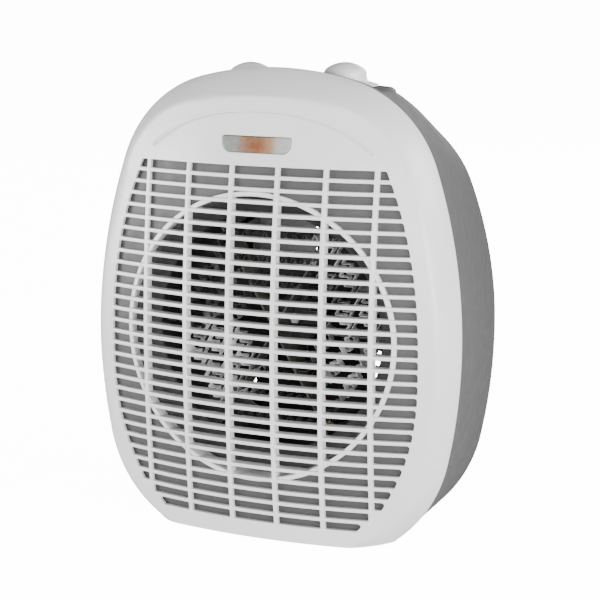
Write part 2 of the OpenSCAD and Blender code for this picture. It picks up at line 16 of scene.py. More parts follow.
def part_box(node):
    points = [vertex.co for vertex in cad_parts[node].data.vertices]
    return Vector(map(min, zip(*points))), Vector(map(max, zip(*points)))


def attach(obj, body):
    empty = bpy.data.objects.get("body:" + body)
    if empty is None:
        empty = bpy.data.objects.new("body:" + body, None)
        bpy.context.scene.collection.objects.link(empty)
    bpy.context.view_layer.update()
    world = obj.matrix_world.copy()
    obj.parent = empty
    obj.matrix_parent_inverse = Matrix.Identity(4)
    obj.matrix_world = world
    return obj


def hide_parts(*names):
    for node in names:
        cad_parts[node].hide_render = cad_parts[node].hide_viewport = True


MM = 0.001
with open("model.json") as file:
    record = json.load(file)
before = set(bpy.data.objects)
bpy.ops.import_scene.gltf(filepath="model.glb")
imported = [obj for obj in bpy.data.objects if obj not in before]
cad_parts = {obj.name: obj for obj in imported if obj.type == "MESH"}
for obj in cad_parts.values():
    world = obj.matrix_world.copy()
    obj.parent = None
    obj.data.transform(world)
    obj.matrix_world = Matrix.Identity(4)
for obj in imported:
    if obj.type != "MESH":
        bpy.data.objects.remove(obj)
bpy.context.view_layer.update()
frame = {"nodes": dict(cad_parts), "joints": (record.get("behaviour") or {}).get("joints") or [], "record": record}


def node_box(node):
    """Lowest and highest corner of a CAD node, in millimetres."""
    low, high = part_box(node)
    return low / MM, high / MM


def joint_at(name):
    """Where a joint's axis is, in millimetres."""
    joint = next(j for j in frame["joints"] if j["name"] == name)
    return Vector(joint["pos_m"]) / MM


# ---- camera ----

CAMERA_AT = (0.3495, -0.8122, 0.2913)
CAMERA_AIM = (0.02836, -0.062, 0.13238)
CAMERA_LENS = 100
CAMERA_ROLL = math.radians(0.38)


def linked(name, data, at=(0, 0, 0)):
    """A new object in the scene."""
    thing = bpy.data.objects.new(name, data)
    bpy.context.scene.collection.objects.link(thing)
    thing.location = at
    return thing


def facing(at, aim):
    """The turn of a camera or a light that stands at one point and looks at another."""
    return (Vector(aim) - Vector(at)).to_track_quat("-Z", "Y").to_matrix()


def add_camera():
    data = bpy.data.cameras.new("camera")
    data.lens = CAMERA_LENS
    data.sensor_width = 36
    data.clip_start = 0.01
    camera = linked("camera", data, CAMERA_AT)
    turn = facing(CAMERA_AT, CAMERA_AIM) @ Euler((0, 0, CAMERA_ROLL)).to_matrix()
    camera.rotation_euler = turn.to_euler()
    bpy.context.scene.camera = camera


add_camera()

# ---- materials ----


class Nodes:
    """A material's node tree, with short calls for the nodes that the finishes share."""

    def __init__(self, name):
        self.material = bpy.data.materials.new(name)
        self.material.use_nodes = True
        self.tree = self.material.node_tree
        self.shader = self.tree.nodes["Principled BSDF"]
        self.coords = self.tree.nodes.new("ShaderNodeTexCoord").outputs["Object"]

    def put(self, socket, value):
        """Joins another node's output to a socket, or sets the socket's value."""
        if isinstance(value, bpy.types.NodeSocket):
            self.tree.links.new(value, socket)
        else:
            socket.default_value = value

    def add(self, kind, inputs, **settings):
        node = self.tree.nodes.new(kind)
        for key, value in settings.items():
            setattr(node, key, value)
        for socket, value in inputs.items():
            self.put(node.inputs[socket], value)
        return node

    def noise(self, per_metre, detail=2.0, roughness=0.5, stretch=None):
        vector = self.coords
        if stretch:
            vector = self.add("ShaderNodeMapping", {"Vector": vector, "Scale": stretch}).outputs["Vector"]
        inputs = {"Vector": vector, "Scale": per_metre, "Detail": detail, "Roughness": roughness}
        return self.add("ShaderNodeTexNoise", inputs).outputs["Fac"]

    def bands(self, direction, per_metre, distortion=0.0):
        inputs = {"Vector": self.coords, "Scale": per_metre, "Distortion": distortion}
        return self.add("ShaderNodeTexWave", inputs, bands_direction=direction).outputs["Fac"]

    def ramp(self, factor, *stops):
        ramp = self.add("ShaderNodeValToRGB", {"Fac": factor})
        elements = ramp.color_ramp.elements
        while len(elements) < len(stops):
            elements.new(0.5)
        for element, (position, colour) in zip(elements, stops):
            element.position = position
            element.color = (*colour, 1)
        return ramp.outputs["Color"]

    def span(self, value, source, target, kind="LINEAR"):
        """value, carried over from one range to another."""
        inputs = {"Value": value, "From Min": source[0], "From Max": source[1],
                  "To Min": target[0], "To Max": target[1]}
        return self.add("ShaderNodeMapRange", inputs, interpolation_type=kind).outputs["Result"]

    def vector(self, operation, inputs, output="Vector"):
        return self.add("ShaderNodeVectorMath", inputs, operation=operation).outputs[output]

    def along(self, axis):
        """The place along an axis."""
        return self.add("ShaderNodeSeparateXYZ", {"Vector": self.coords}).outputs[axis]

    def set(self, **values):
        for key, value in values.items():
            self.put(self.shader.inputs[key.replace("_", " ")], value)

    def finish(self, tint, sheen, relief, **values):
        """The material with a colour, a roughness and a bump.

        sheen is (factor, lowest, highest roughness); relief is (height, strength, distance in metres).
        """
        roughness = self.span(sheen[0], (0.3, 0.7), sheen[1:])
        bump = self.add("ShaderNodeBump", dict(zip(("Height", "Strength", "Distance"), relief)))
        self.set(Base_Color=tint, Roughness=roughness, Normal=bump.outputs["Normal"], **values)
        return self.material


def shade(colour, factor):
    return tuple(min(1.0, c * factor) for c in colour)


def plastic(name, colour, roughness, grain=900, grain_depth=0.00002, mottle=0.03, coat=0.0, gloss=0.5,
            deepen=None):
    """A moulded plastic: a faint mottle in its colour, an uneven sheen, and the mould's fine grain.

    deepen is (front, back, factor): the colour gets darker by the factor from front to back.
    """
    nodes = Nodes(name)
    dark, light = shade(colour, 1 - mottle), shade(colour, 1 + mottle)
    tint = nodes.ramp(nodes.noise(45, 3), (0.3, dark), (0.7, light))
    if deepen:
        front, back, factor = deepen
        share = nodes.span(nodes.along("Y"), (front * MM, back * MM), (1.0, factor))
        tint = nodes.vector("SCALE", {0: tint, "Scale": share})
    return nodes.finish(tint, (nodes.noise(160, 4), roughness - 0.05, roughness + 0.06),
                        (nodes.noise(grain, 3, 0.6), 0.25, grain_depth), IOR=1.5, Specular_IOR_Level=gloss,
                        Coat_Weight=coat, Coat_Roughness=0.12)


def metal(name, colour, roughness, brushed=(1, 1, 1), worn=0.08):
    """A metal with a brushed or rolled grain and slight staining."""
    nodes = Nodes(name)
    tint = nodes.ramp(nodes.noise(60, 5, 0.6), (0.3, shade(colour, 1 - worn)), (0.72, colour))
    grain = nodes.noise(700, 4, 0.6, stretch=brushed)
    sheen = (grain, roughness - 0.07, roughness + 0.1)
    return nodes.finish(tint, sheen, (grain, 0.2, 0.00003), Metallic=1.0)


def mica():
    """Pressed mica board: flakes of slightly different browns, with a soft lustre."""
    nodes = Nodes("mica_board")
    flakes = nodes.add("ShaderNodeTexVoronoi", {"Vector": nodes.coords, "Scale": 350}).outputs["Distance"]
    tint = nodes.ramp(flakes, (0.0, (0.045, 0.042, 0.038)), (0.8, (0.085, 0.078, 0.066)))
    return nodes.finish(tint, (nodes.noise(500, 3), 0.3, 0.5), (flakes, 0.2, 0.00005))


def ribbon():
    """Resistance ribbon: bright where it was clamped or handled, dark with heat elsewhere."""
    nodes = Nodes("resistance_ribbon")
    total = 0.0
    for x, z, reach in RIBBON_BRIGHT:
        away = nodes.vector("DISTANCE", {0: nodes.coords, 1: (x * MM, RIBBON_Y * MM, z * MM)}, "Value")
        patch = nodes.span(away, (reach * MM, reach * MM * 0.6), (0, 1), "SMOOTHSTEP")
        total = nodes.add("ShaderNodeMath", {0: total, 1: patch}, operation="MAXIMUM").outputs["Value"]
    tint = nodes.ramp(total, (0.0, (0.06, 0.058, 0.056)), (1.0, (0.97, 0.97, 0.96)))
    grain = nodes.noise(700, 4, 0.6, stretch=(1, 8, 1))
    return nodes.finish(tint, (grain, 0.22, 0.40), (grain, 0.15, 0.00003), Metallic=0.2)


def rubber(name):
    nodes = Nodes(name)
    specks = nodes.noise(240, 5, 0.7)
    dust = nodes.ramp(specks, (0.35, (0.012, 0.012, 0.012)), (0.75, (0.035, 0.034, 0.033)))
    return nodes.finish(dust, (nodes.noise(400, 2), 0.62, 0.82), (nodes.noise(1500, 2), 0.3, 0.00003))


def windings():
    """Enamelled copper wire, wound in close turns."""
    nodes = Nodes("copper_windings")
    turns = nodes.bands("Z", 650, 0.6)
    tint = nodes.ramp(turns, (0.0, (0.05, 0.016, 0.006)), (0.8, (0.20, 0.07, 0.025)))
    return nodes.finish(tint, (nodes.noise(300, 3), 0.22, 0.38), (turns, 0.8, 0.0002), Metallic=0.75)


def laminations():
    """A stack of thin blued sheets, seen edge on along Y."""
    nodes = Nodes("lamination_stack")
    sheets = nodes.bands("Y", 320)
    tint = nodes.ramp(sheets, (0.1, (0.05, 0.052, 0.06)), (0.5, (0.22, 0.225, 0.25)))
    return nodes.finish(tint, (nodes.noise(220, 5, 0.7), 0.35, 0.55), (sheets, 0.5, 0.0001), Metallic=0.9)


def lens():
    """A frosted lens: greyish at its ends, warm in the middle where the lamp sits behind it."""
    nodes = Nodes("frosted_lens")
    across = nodes.span(nodes.along("X"), (-0.0192, 0.0192), (0, 1))
    glow = nodes.ramp(across, (0.0, (0.15, 0.15, 0.15)), (0.21, (0.165, 0.165, 0.16)),
                      (0.29, (0.18, 0.11, 0.07)), (0.38, (0.18, 0.085, 0.038)),
                      (0.62, (0.22, 0.11, 0.055)), (0.72, (0.27, 0.165, 0.10)),
                      (0.80, (0.30, 0.29, 0.28)), (1.0, (0.33, 0.33, 0.33)))
    middle = {"Vector": nodes.coords, "Location": (0.0002, 0, WINDOW_Z * MM), "Scale": (0.0062, 1, 0.0052)}
    centred = nodes.add("ShaderNodeMapping", middle, vector_type="TEXTURE")
    flat = nodes.vector("MULTIPLY", {0: centred.outputs["Vector"], 1: (1, 0, 1)})
    away = nodes.vector("LENGTH", {0: flat}, "Value")
    spot = nodes.ramp(away, (0.35, (0.80, 0.62, 0.50)), (0.95, (1, 1, 1)))
    both = nodes.vector("MULTIPLY", {0: glow, 1: spot})
    return nodes.finish(both, (nodes.noise(500, 3), 0.22, 0.34), (nodes.bands("X", 260), 0.12, 0.0001))


def neon():
    """A small glowing tube, brighter in patches along its length."""
    nodes = Nodes("neon_tube")
    patches = nodes.ramp(nodes.noise(180, 2), (0.3, (0.75, 0.22, 0.05)), (0.7, (1.0, 0.42, 0.12)))
    nodes.set(Base_Color=patches, Emission_Color=patches, Emission_Strength=1.5, Roughness=0.1)
    return nodes.material


WINDOW_Z = 207.6                         # height of the lamp window's middle
RIBBON_Y = -22                           # depth of the ribbon's painted highlights
RIBBON_BRIGHT = [(-34, 88, 30), (62, 100, 44), (38, 152, 24)]    # x, z and reach of each painted highlight
COVER_GREY = (0.66, 0.664, 0.664)
CASE_GREY = (0.078, 0.078, 0.0785)
BAFFLE_GREY = (0.044, 0.044, 0.0445)

MATERIALS = {
    "cover_plastic": plastic("cover_light_grey", COVER_GREY, 0.36, mottle=0.012, coat=0.15),
    "knob_plastic": plastic("knob_light_grey", COVER_GREY, 0.34, mottle=0.012, coat=0.15),
    "casing_plastic": plastic("casing_mid_grey", CASE_GREY, 0.6, 1500, 0.00004, mottle=0.008, gloss=0.2,
                              deepen=(-28, 48, 0.68)),
    "baffle_plastic": plastic("baffle_mid_grey", BAFFLE_GREY, 0.55, 1300, 0.00004),
    "black_plastic": plastic("heatproof_black", (0.009, 0.009, 0.0095), 0.6, 1100, mottle=0.15),
    "fan_plastic": plastic("fan_black", (0.008, 0.008, 0.0085), 0.5, mottle=0.15),
    "phenolic": plastic("phenolic_black", (0.02, 0.02, 0.022), 0.42, 1800, mottle=0.2),
    "block_plastic": plastic("natural_nylon", (0.62, 0.60, 0.52), 0.45, mottle=0.04),
    "rubber": rubber("black_rubber"),
    "gland_rubber": rubber("gland_rubber"),
    "screw_steel": metal("zinc_screws", (0.55, 0.55, 0.57), 0.32),
    "zinc_steel": metal("zinc_sheet", (0.30, 0.30, 0.31), 0.45, brushed=(1, 1, 6)),
    "shaft_steel": metal("ground_steel", (0.60, 0.60, 0.62), 0.25, brushed=(1, 12, 12)),
    "lamination": laminations(),
    "enamelled_wire": windings(),
    "mica": mica(),
    "ribbon_alloy": ribbon(),
    "brass": metal("bright_brass", (0.78, 0.56, 0.25), 0.28),
    "aluminium": metal("dull_aluminium", (0.16, 0.16, 0.165), 0.55),
    "lens": lens(),
    "neon": neon(),
    "ceramic": plastic("fuse_ceramic", (0.10, 0.10, 0.095), 0.5, mottle=0.04),
}


# ---- mesh building ----


class Solid:
    """Points in millimetres and the faces between them; build() turns them into a Blender object."""

    def __init__(self):
        self.points = []
        self.faces = []

    def ring(self, points):
        start = len(self.points)
        self.points += [Vector(p) for p in points]
        return list(range(start, len(self.points)))

    def profile(self, points, depth):
        """A ring of (x, z) points; depth gives the Y of each, or is the Y of all."""
        return self.ring([(p.x, depth(p) if callable(depth) else depth, p.y) for p in points])

    def bridge(self, a, b, rings=True):
        """Quads between two rings, or rows, as long; points that they share make triangles."""
        count = len(a) if rings else len(a) - 1
        for i in range(count):
            j = (i + 1) % len(a)
            face = [a[i], a[j], b[j], b[i]]
            face = [v for k, v in enumerate(face) if v != face[k - 1]]
            if len(set(face)) > 2:
                self.faces.append(face)

    def skin(self, rows, closed=False, rings=True):
        """Quads from each row to the next, and from the last to the first if closed."""
        for a, b in zip(rows, rows[1:] + rows[:1] if closed else rows[1:]):
            self.bridge(a, b, rings)

    def patch(self, edge, loops, place, extra=()):
        """Triangles over loops[0], which is the ring edge, less the other loops.

        place() puts a new point into the frame. Returns the ring of each hole.
        """
        points, triangles, places = fill(loops, extra)
        known = dict(zip(places[0], edge))
        at = [known[i] if i in known else self.ring([place(p)])[0] for i, p in enumerate(points)]
        self.faces += [[at[v] for v in t] for t in triangles]
        return [[at[i] for i in hole] for hole in places[1:]]

    def plate(self, points, triangles, front_y, back_y, open_edges=()):
        """Triangles with a thickness, from one depth to another. Returns its front and back rings."""
        front, back = self.profile(points, front_y), self.profile(points, back_y)
        for t in triangles:
            self.faces.append([front[v] for v in t])
            self.faces.append([back[v] for v in reversed(t)])
        for a, b in border_edges(triangles):
            if frozenset((a, b)) not in open_edges:
                self.faces.append([front[b], front[a], back[a], back[b]])
        return front, back

    def lathe(self, profile, place, steps=96):
        """Turns a closed profile of (radius, distance along the axis); place() puts it into the frame."""
        rows = []
        for radius, along in profile:
            turns = [2 * math.pi * k / steps for k in range(steps if radius else 1)]
            ring = self.ring([place(radius * math.cos(a), radius * math.sin(a), along) for a in turns])
            rows.append(ring if radius else ring * steps)
        self.skin(rows, closed=True)

    def bare(self, name):
        """The object, with its faces turned outwards and no material."""
        mesh = bpy.data.meshes.new(name)
        mesh.from_pydata([p * MM for p in self.points], [], self.faces)
        mesh.validate()
        work = bmesh.new()
        work.from_mesh(mesh)
        bmesh.ops.recalc_face_normals(work, faces=work.faces)
        work.to_mesh(mesh)
        work.free()
        mesh.update()
        return linked(name, mesh)

    def build(self, name, slot, body="housing", replaces=(), smooth=38):
        piece = self.bare(name)
        piece.data.materials.append(MATERIALS[slot])
        finish_surface(piece, smooth)
        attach(piece, body)
        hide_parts(*replaces)
        return piece


def upright(x, y):
    """Place for a lathe whose axis is vertical."""
    return lambda a, b, along: (x + a, y + b, along)


def lengthwise(x, z):
    """Place for a lathe whose axis runs front to back."""
    return lambda a, b, along: (x + a, along, z + b)


def finish_surface(piece, smooth):
    """Smooth shading, with edges sharper than smooth degrees kept as edges."""
    piece.data.shade_smooth()
    piece.data.set_sharp_from_angle(angle=math.radians(smooth))
    weighted = piece.modifiers.new("weighted_normals", "WEIGHTED_NORMAL")
    weighted.keep_sharp = True


def mix(a, b, t):
    return a + (b - a) * t


def smoothstep(low, high, value):
    t = min(1.0, max(0.0, (value - low) / (high - low)))
    return t * t * (3 - 2 * t)


def soft_max(a, b, softness):
    """The larger of a and b, with the corner between them rounded off."""
    h = max(softness - abs(a - b), 0.0) / softness
    return max(a, b) + h * h * softness / 4


def soft_min(a, b, softness):
    return -soft_max(-a, -b, softness)


def circle(x, z, radius, steps=96):
    turns = [2 * math.pi * k / steps for k in range(steps)]
    return [Vector((x + radius * math.cos(a), z + radius * math.sin(a))) for a in turns]


def rounded(corners, steps, spans):
    """A closed outline. Each corner is (x, z, radius); the side after corner i is cut into spans[i]."""
    points = []
    for i, (x, z, radius) in enumerate(corners):
        here = Vector((x, z))
        before = Vector(corners[i - 1][:2])
        after = Vector(corners[(i + 1) % len(corners)][:2])
        to_before = (before - here).normalized()
        to_after = (after - here).normalized()
        half = to_before.angle(to_after) / 2
        reach = radius / math.tan(half)
        middle = here + (to_before + to_after).normalized() * (radius / math.sin(half))
        first = here + to_before * reach - middle
        last = here + to_after * reach - middle
        turn = first.angle_signed(last)
        for k in range(steps + 1):
            angle = -turn * k / steps
            c, s = math.cos(angle), math.sin(angle)
            points.append(middle + Vector((first.x * c - first.y * s, first.x * s + first.y * c)))
    spread = []
    for i, point in enumerate(points):
        spread.append(point)
        if (i + 1) % (steps + 1) == 0:
            cuts = spans[i // (steps + 1)]
            following = points[(i + 1) % len(points)]
            spread += [mix(point, following, k / cuts) for k in range(1, cuts)]
    return spread


def fill(loops, extra):
    """Triangles over the first loop, less the other loops, passing through the extra points.

    Returns the points, the triangles, and for each loop the places of its points in the list.
    """
    flat = [Vector(p) for loop in loops for p in loop] + [Vector(p) for p in extra]
    starts = [sum(len(loop) for loop in loops[:i]) for i in range(len(loops))]
    faces = [list(range(s, s + len(loop))) for s, loop in zip(starts, loops)]
    points, _, triangles, origins, _, inside = delaunay_2d_cdt(flat, [], faces, 0, 1e-7)
    place = {old: new for new, olds in enumerate(origins) for old in olds}
    kept = [list(t) for t, held in zip(triangles, inside) if list(held) == [0]]
    return points, kept, [[place[i] for i in face] for face in faces]


def border_edges(triangles):
    """Edges, in their triangle's direction, that only one triangle has."""
    edges = {edge: True for a, b, c in triangles for edge in ((a, b), (b, c), (c, a))}
    return [(a, b) for a, b in edges if (b, a) not in edges]


# ---- the body's outline and its front face ----

cover_low, cover_high = node_box("front_cover")
FRONT_Y = cover_low.y
COVER_TOP = cover_high.z
BASE_Z = cover_low.z
SEAM_Y = FRONT_Y + 34
DUCT_Z = joint_at("fan_spin").z

OUTLINE_ARCS = [(166, 14.7), (65.6, 56.5), (288, 30.7), (74.8, 75)]   # radius, degrees turned
PLAN_R = 286             # the face's radius seen from above, and seen from the side
SIDE_R = 680
FACE_Z = 104.25          # height where the face comes furthest forward
WALL = 2.2


def arc_chain():
    """Each arc as (centre, radius, heading at its start, turn), from the middle of the top downwards."""
    arcs = []
    point, heading = Vector((0, COVER_TOP)), 0.0
    for radius, degrees in OUTLINE_ARCS:
        turn = math.radians(degrees)
        centre = point - radius * Vector((math.sin(heading), math.cos(heading)))
        arcs.append((centre, radius, heading, turn))
        heading += turn
        point = centre + radius * Vector((math.sin(heading), math.cos(heading)))
    return arcs


ARCS = arc_chain()


def edge_point(heading, inset):
    """Point of the outline, moved inwards, where its normal points heading from straight up."""
    for centre, radius, start, turn in ARCS:
        if abs(heading) <= start + turn or centre is ARCS[-1][0]:
            point = centre + (radius - inset) * Vector((math.sin(abs(heading)), math.cos(heading)))
            return Vector((math.copysign(point.x, heading), point.y))


def inset_at(x, z):
    """How far inside the outline a point lies."""
    nearest = 200.0
    for centre, radius, start, turn in ARCS:
        offset = Vector((abs(x), z)) - centre
        heading = math.atan2(offset.x, offset.y)
        if start - 1e-9 <= heading <= start + turn:
            nearest = min(nearest, radius - offset.length)
    if offset.y < 0 and (offset.x < 0 or heading > start):
        nearest = min(nearest, radius - (offset.length if offset.x > 0 else -offset.y))
    return nearest


def last_inside(low, high, inside):
    """The value between low and high up to which inside() holds."""
    for _ in range(50):
        middle = (low + high) / 2
        low, high = (middle, high) if inside(middle) else (low, middle)
    return low


def heading_at(z, inset):
    """Heading at which the inset outline comes down to height z."""
    return last_inside(0.0, math.radians(176), lambda heading: edge_point(heading, inset).y > z)


def face_y(x, z, back=0.0):
    reach = PLAN_R - back - (z - FACE_Z) ** 2 / (2 * SIDE_R)
    return FRONT_Y + PLAN_R - math.sqrt(reach * reach - x * x)


# The arc-shaped groove above the lamp window, and the shallow dish around the window
GROOVE_TOP_Z = 224.5
GROOVE_HALF_WIDTH = 60.0
GROOVE_CURVE = 0.00309   # how fast it falls to either side, with x squared
GROOVE_HOOK = 5.92e-7    # and with the fourth power of x
GROOVE_DEPTH = 0.8
DISH_DEPTH = 0.7


def groove_z(x):
    return GROOVE_TOP_Z - GROOVE_CURVE * x ** 2 - GROOVE_HOOK * x ** 4


def groove(x, z):
    """Depth of the groove at a point: it follows its centre line and ends round."""
    near_x = min(abs(x), GROOVE_HALF_WIDTH)
    slope = math.atan(2 * GROOVE_CURVE * near_x + 4 * GROOVE_HOOK * near_x ** 3)
    across = (z - groove_z(near_x)) * math.cos(slope)
    if abs(x) > GROOVE_HALF_WIDTH:
        across = math.hypot(abs(x) - GROOVE_HALF_WIDTH, z - groove_z(GROOVE_HALF_WIDTH))
    width = mix(0.45, 0.95, smoothstep(0, GROOVE_HALF_WIDTH, abs(x)))
    return GROOVE_DEPTH * (1 - smoothstep(width * 0.55, width * 1.25, abs(across)))


def dish(x, z):
    return DISH_DEPTH * math.exp(-(x / 23) ** 4 - ((z - WINDOW_Z + 2) / 9.5) ** 2)


RIM_R = 0.6              # rounding of the rim's outer edge at the seam
FLANK_RISE = 21.4        # how far the flank rises in front of the rim
FLANK_WIDTH = 13.6       # over this inset
FLANK_POWER = 0.8
TOE_RISE = 26.9          # the same lower down, where the flank is straighter
TOE_POWER = 0.72


def cover_y(x, z, depth=0.0):
    """Y of the cover's surface at a point, or of the surface depth inside it."""
    inset = max(inset_at(x, z) - depth, 0.0)
    low = smoothstep(230, 90, z)
    rise, power = mix(FLANK_RISE, TOE_RISE, low), mix(FLANK_POWER, TOE_POWER, low)
    flank = SEAM_Y - RIM_R + depth - rise * (inset / FLANK_WIDTH) ** power
    softness = mix(0.5, 6.0, smoothstep(228, 158, z)) - 4.0 * low
    y = soft_max(flank, face_y(x, z, depth), softness)
    if depth == 0:
        y += groove(x, z) + dish(x, z)
    return min(y, SEAM_Y - RIM_R if depth == 0 else SEAM_Y)


def on_cover(depth, behind=0.0):
    """Depth for a profile that lies behind the cover's surface, or behind the surface depth inside it."""
    return lambda p: cover_y(p.x, p.y, depth) + behind


def on_face(behind):
    """Depth for a profile that lies behind the front face."""
    return lambda p: face_y(p.x, p.y) + behind


# ---- the grille ----

ROWS = 30
ROW_TOP_Z = 195
ROW_PITCH = 6.26
SLOT_H = 4.25
BAR_PITCH = 25.3
BAR_W = 2.3
BARS = 6
SHORT_ROWS = {28: (61.8, 61.8), 29: (59.6, 55.4)}      # half widths at the top and bottom of a slot
SQUARE_ROW = 28          # the row whose ends are cut off square
FIELD_WIDE = 86.4        # half the field's width where it is widest, and the height of that
FIELD_WIDE_Z = 93.5
SLOT_R = 0.45            # radius of a slot's corners
END_R = 1.3              # radius of its upper corners at the field's ends
SLOT_EDGE = 0.42         # rounding of the slots' front edges
SOFT_EDGE = 0.126        # how wide it still is half way in


def field_half(z):
    """Half the width of the slotted field at a height."""
    above = z - FIELD_WIDE_Z
    if above > 0:
        return FIELD_WIDE - 17.9 * (above / 102) ** 2.5
    return FIELD_WIDE - 12.7 * (-above / 60) ** 2.35


def slot_corners():
    """Each slot's corners, anticlockwise from the lower left, and their radii."""
    slots = []
    bars = [-math.inf] + [(i - (BARS - 1) / 2) * BAR_PITCH for i in range(BARS)] + [math.inf]
    for row in range(ROWS):
        z = ROW_TOP_Z - row * ROW_PITCH
        low, high = z - SLOT_H / 2, z + SLOT_H / 2
        top_half, low_half = SHORT_ROWS.get(row, (field_half(high), field_half(low)))
        for left_bar, right_bar in zip(bars, bars[1:]):
            left, right = left_bar + BAR_W / 2, right_bar - BAR_W / 2
            if left > low_half - 2 or right < 2 - low_half:
                continue
            ends = (left < -low_half, right > low_half)
            radii = [END_R if end and row != SQUARE_ROW else SLOT_R for end in ends]
            slots.append([(max(left, -low_half), low, SLOT_R), (min(right, low_half), low, SLOT_R),
                          (min(right, top_half), high, radii[1]), (max(left, -top_half), high, radii[0])])
    return slots


def grown(corners, grow):
    """A slot's outline with every side moved outwards."""
    signs = [(-1, -1), (1, -1), (1, 1), (-1, 1)]
    moved = [(x + sx * grow, z + sz * grow, r + grow) for (x, z, r), (sx, sz) in zip(corners, signs)]
    across = max(1, round((corners[1][0] - corners[0][0]) / 5))
    return rounded(moved, 3, [across, 1, across, 1])


def window_outline(grow):
    """The lamp window: small corners above, large ones below."""
    half_low, half_high, low, high = 18.7 + grow, 19.4 + grow, 203.6 - grow, 212 + grow
    corners = [(-half_low, low, 4.9 + grow), (half_low, low, 4.9 + grow),
               (half_high, high, 1.5 + grow), (-half_high, high, 1.5 + grow)]
    return rounded(corners, 6, [10, 2, 12, 2])


# ---- front cover ----

SIDE_STEPS = 130         # points along each half of the outline
BOTTOM_STEPS = 52        # points along the bottom edge
EDGE_Z = 0.8             # rounding of the bottom edge


def rim_curve(inset, base):
    """The inset outline from the left end of the base, over the top, to the right end."""
    reach = heading_at(base, inset)
    return [edge_point(reach * k / SIDE_STEPS, inset) for k in range(-SIDE_STEPS, SIDE_STEPS + 1)]


def cover_extras(depth):
    """Points that carry the cover's curvature between its edge and the slots."""
    points = []
    for inset in (4, 5.2, 6.5, 8, 9.5, 10.8, 12, 13, 13.7, 14.4, 15.4, 17):
        points += rim_curve(inset + depth, BASE_Z + depth + 2)
    for z_step in range(0, 250, 4):
        for x_step in range(-100, 101, 4):
            x, z = x_step + 0.37, z_step + 0.61
            in_field = z < ROW_TOP_Z + 4 and abs(x) < field_half(z) + 2.5 and z > 9
            if not in_field and inset_at(x, z) > 18.5 + depth and z > BASE_Z + depth + 1.5:
                points.append(Vector((x, z)))
    if depth == 0:
        for k in range(-44, 45):
            x = GROOVE_HALF_WIDTH * k / 43
            points += [Vector((x, groove_z(abs(x)) + side * off)) for off in (0.35, 0.7, 1.1, 1.5)
                       for side in (-1, 1)]
    return points


def cover_shell(solid, depth, hole_loops):
    """One side of the cover's wall. Returns its closed rim loop and its hole loops."""
    base = BASE_Z + depth + EDGE_Z
    steep = [0.07, 0.1, 0.15, 0.28, 0.55, 0.95, 1.5, 2.2, 3.0]
    curves = [rim_curve(inset + depth, base) for inset in steep]
    left, right = curves[-1][0], curves[-1][-1]
    bottom = [mix(right, left, k / BOTTOM_STEPS) for k in range(1, BOTTOM_STEPS)]
    outer = list(reversed(curves[-1] + bottom))
    points, triangles, places = fill([outer] + hole_loops, cover_extras(depth))
    used = sorted({v for t in triangles for v in t})
    rank = {v: k for k, v in enumerate(used)}
    start = solid.profile([points[v] for v in used], on_cover(depth))[0]
    solid.faces += [[start + rank[v] for v in t] for t in triangles]
    outer_ring = list(reversed([start + rank[v] for v in places[0]]))
    holes = [[start + rank[v] for v in loop] for loop in places[1:]]

    count = 2 * SIDE_STEPS + 1
    rows = [outer_ring[:count]]
    rows += [solid.profile(curve, on_cover(depth)) for curve in reversed(curves[:-1])]
    solid.skin(rows, rings=False)

    # Front edge of the base from the right to the left, then rows that turn under to the flat base
    front = [row[-1] for row in reversed(rows)] + outer_ring[count:] + [row[0] for row in rows]
    places_3d = [solid.points[v] for v in front]
    under = [front]
    rear_y = SEAM_Y - RIM_R if depth == 0 else SEAM_Y
    for inward, drop in ((0.06, 0.35), (0.24, 0.63), (0.8, 0.8)):
        row = []
        for i, p in enumerate(places_3d):
            along = places_3d[min(i + 1, len(front) - 1)] - places_3d[max(i - 1, 0)]
            normal = Vector((along.y, -along.x, 0)).normalized()
            moved = p + normal * inward
            row.append(Vector((moved.x, min(moved.y, rear_y), p.z - drop)))
        under.append(solid.ring(row))
    under.append(solid.ring([(solid.points[v].x, rear_y, solid.points[v].z) for v in under[-1]]))
    solid.skin(under, rings=False)
    return rows[-1] + under[-1], holes


def build_cover():
    solid = Solid()
    slots = slot_corners()
    loops = {g: [grown(s, g) for s in slots] + [window_outline(g)] for g in (SLOT_EDGE, SOFT_EDGE, 0.0)}
    outer_rim, outer_holes = cover_shell(solid, 0.0, loops[SLOT_EDGE])
    inner_rim, inner_holes = cover_shell(solid, WALL, loops[0.0])
    for k, (front, back) in enumerate(zip(outer_holes, inner_holes)):
        soft = solid.profile(loops[SOFT_EDGE][k], on_cover(0, SOFT_EDGE))
        wall = solid.profile(loops[0.0][k], on_cover(0, SLOT_EDGE))
        solid.skin([front, soft, wall, back])
    rim = [outer_rim]
    for share, y in ((0.3, SEAM_Y - 0.18), (1.0, SEAM_Y)):
        between = [mix(solid.points[a], solid.points[b], share * RIM_R / WALL)
                   for a, b in zip(outer_rim, inner_rim)]
        rim.append(solid.ring([(p.x, y, p.z) for p in between]))
    solid.skin(rim + [inner_rim])
    solid.build("grille_cover", "cover_plastic", replaces=["front_cover"])


def build_outlet_ring():
    """The cover's ring round the outlet: its front edge follows the face."""
    solid = Solid()
    back = FRONT_Y + 16
    rows = []
    for radius, behind in ((73.1, None), (73.1, 1.7), (73.5, 1.3), (75.1, 1.3), (75.5, 1.7), (75.5, None)):
        depth = back if behind is None else on_face(behind)
        rows.append(solid.profile(circle(0, DUCT_Z, radius, 192), depth))
    solid.skin(rows, closed=True)
    solid.build("outlet_ring", "cover_plastic", replaces=["front_cover"])


